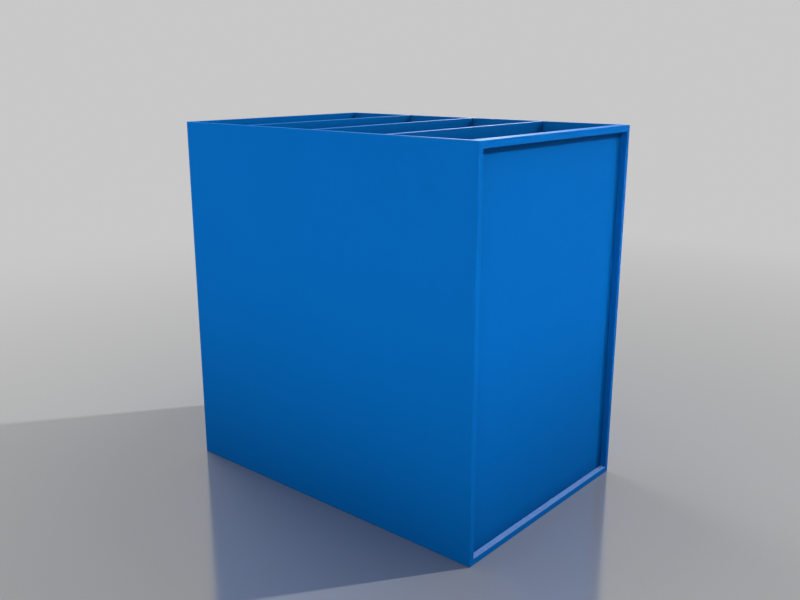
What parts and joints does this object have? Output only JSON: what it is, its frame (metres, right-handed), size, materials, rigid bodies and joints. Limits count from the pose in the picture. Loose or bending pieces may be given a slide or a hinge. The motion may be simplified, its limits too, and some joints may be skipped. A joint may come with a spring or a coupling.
{
  "type": "desktop drawer unit",
  "caption": "Free-standing box housing with stacked bays, a shallow tray in one end face, and notched drawers that slide out of the bays' mouths.",
  "frame": {"origin": "middle of the back panel's outer face, which the unit lies on as pictured", "axes": "+Z out of the mouths of the bays, the way the drawers slide; -Y out of the face with the tray, which is the top in use; +Y out of the base that the unit stands on in use; +X across the bays to the right as seen from the tray's side"},
  "size_m": [0.123, 0.1818, 0.1805],
  "materials": {
    "housing_plastic": "fine satin, deep blue",
    "drawer_plastic": "fine satin, deep blue"
  },
  "bodies": {
    "housing": {"side_panel_left": "housing_plastic", "side_panel_right": "housing_plastic", "back_panel": "housing_plastic", "base_panel": "housing_plastic", "tray_panel": "housing_plastic", "tray_lip": "housing_plastic", "shelf_1": "housing_plastic", "shelf_2": "housing_plastic", "shelf_3": "housing_plastic", "stop_blocks_1": "housing_plastic", "stop_blocks_2": "housing_plastic", "stop_blocks_3": "housing_plastic", "stop_blocks_4": "housing_plastic"},
    "drawer_1": {"drawer_front_1": "drawer_plastic", "drawer_back_1": "drawer_plastic", "drawer_wall_left_1": "drawer_plastic", "drawer_wall_right_1": "drawer_plastic", "drawer_floor_1": "drawer_plastic"},
    "drawer_2": {"drawer_front_2": "drawer_plastic", "drawer_back_2": "drawer_plastic", "drawer_wall_left_2": "drawer_plastic", "drawer_wall_right_2": "drawer_plastic", "drawer_floor_2": "drawer_plastic"},
    "drawer_3": {"drawer_front_3": "drawer_plastic", "drawer_back_3": "drawer_plastic", "drawer_wall_left_3": "drawer_plastic", "drawer_wall_right_3": "drawer_plastic", "drawer_floor_3": "drawer_plastic"},
    "drawer_4": {"drawer_front_4": "drawer_plastic", "drawer_back_4": "drawer_plastic", "drawer_wall_left_4": "drawer_plastic", "drawer_wall_right_4": "drawer_plastic", "drawer_floor_4": "drawer_plastic"}
  },
  "joints": [
    {"name": "drawer_slide_1", "type": "slide", "parent": "housing", "child": "drawer_1", "axis": [0, 0, 1], "range_m": [0, 0.1559]},
    {"name": "drawer_slide_2", "type": "slide", "parent": "housing", "child": "drawer_2", "axis": [0, 0, 1], "range_m": [0, 0.1559]},
    {"name": "drawer_slide_3", "type": "slide", "parent": "housing", "child": "drawer_3", "axis": [0, 0, 1], "range_m": [0, 0.1559]},
    {"name": "drawer_slide_4", "type": "slide", "parent": "housing", "child": "drawer_4", "axis": [0, 0, 1], "range_m": [0, 0.1559]}
  ]
}
